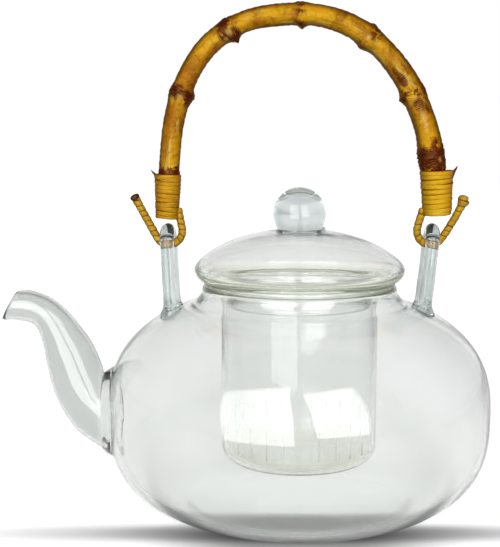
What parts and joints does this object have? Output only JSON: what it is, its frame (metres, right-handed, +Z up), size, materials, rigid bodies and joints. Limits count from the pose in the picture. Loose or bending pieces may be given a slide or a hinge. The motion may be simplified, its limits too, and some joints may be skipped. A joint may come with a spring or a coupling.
{
  "type": "glass teapot",
  "caption": "Squat clear glass teapot with a curved spout, a lift-out glass infuser, a domed lid with a ball knob and a swinging bamboo bail.",
  "frame": {"origin": "centre of the flat base, on the surface the pot stands on", "axes": "+Z up through the knob, -X along the spout, +Y away from a viewer who has the spout on the left"},
  "size_m": [0.1916, 0.15, 0.1999],
  "materials": {
    "clear_glass": "clear blown borosilicate, polished",
    "bamboo": "varnished bamboo root, amber with dark nodes",
    "rattan": "wound split rattan, varnished",
    "hook_rattan": "wound split rattan, olive yellow",
    "dark_splint": "dark cut ends of cane"
  },
  "bodies": {
    "pot": {"pot_body": "clear_glass", "spout": "clear_glass", "spout_side_lug": "clear_glass", "rear_lug": "clear_glass"},
    "infuser": {"infuser": "clear_glass"},
    "lid": {"lid_dome": "clear_glass", "lid_skirt": "clear_glass", "lid_knob": "clear_glass"},
    "handle": {"handle_cane": "bamboo", "spout_side_binding": "rattan", "rear_binding": "rattan", "spout_side_wedge": "dark_splint", "rear_wedge": "dark_splint", "spout_side_hook_core": "dark_splint", "rear_hook_core": "dark_splint", "spout_side_hook_wrap": "hook_rattan", "rear_hook_wrap": "hook_rattan"}
  },
  "joints": [
    {"name": "handle_swing", "type": "hinge", "parent": "pot", "child": "handle", "pos_m": [0, 0, 0.1062], "axis": [1, 0, 0], "range_deg": [-105, 105]},
    {"name": "infuser_lift", "type": "slide", "parent": "pot", "child": "infuser", "axis": [0, 0, 1], "range_m": [0, 0.055]},
    {"name": "lid_lift", "type": "slide", "parent": "infuser", "child": "lid", "axis": [0, 0, 1], "range_m": [0, 0.055]}
  ]
}
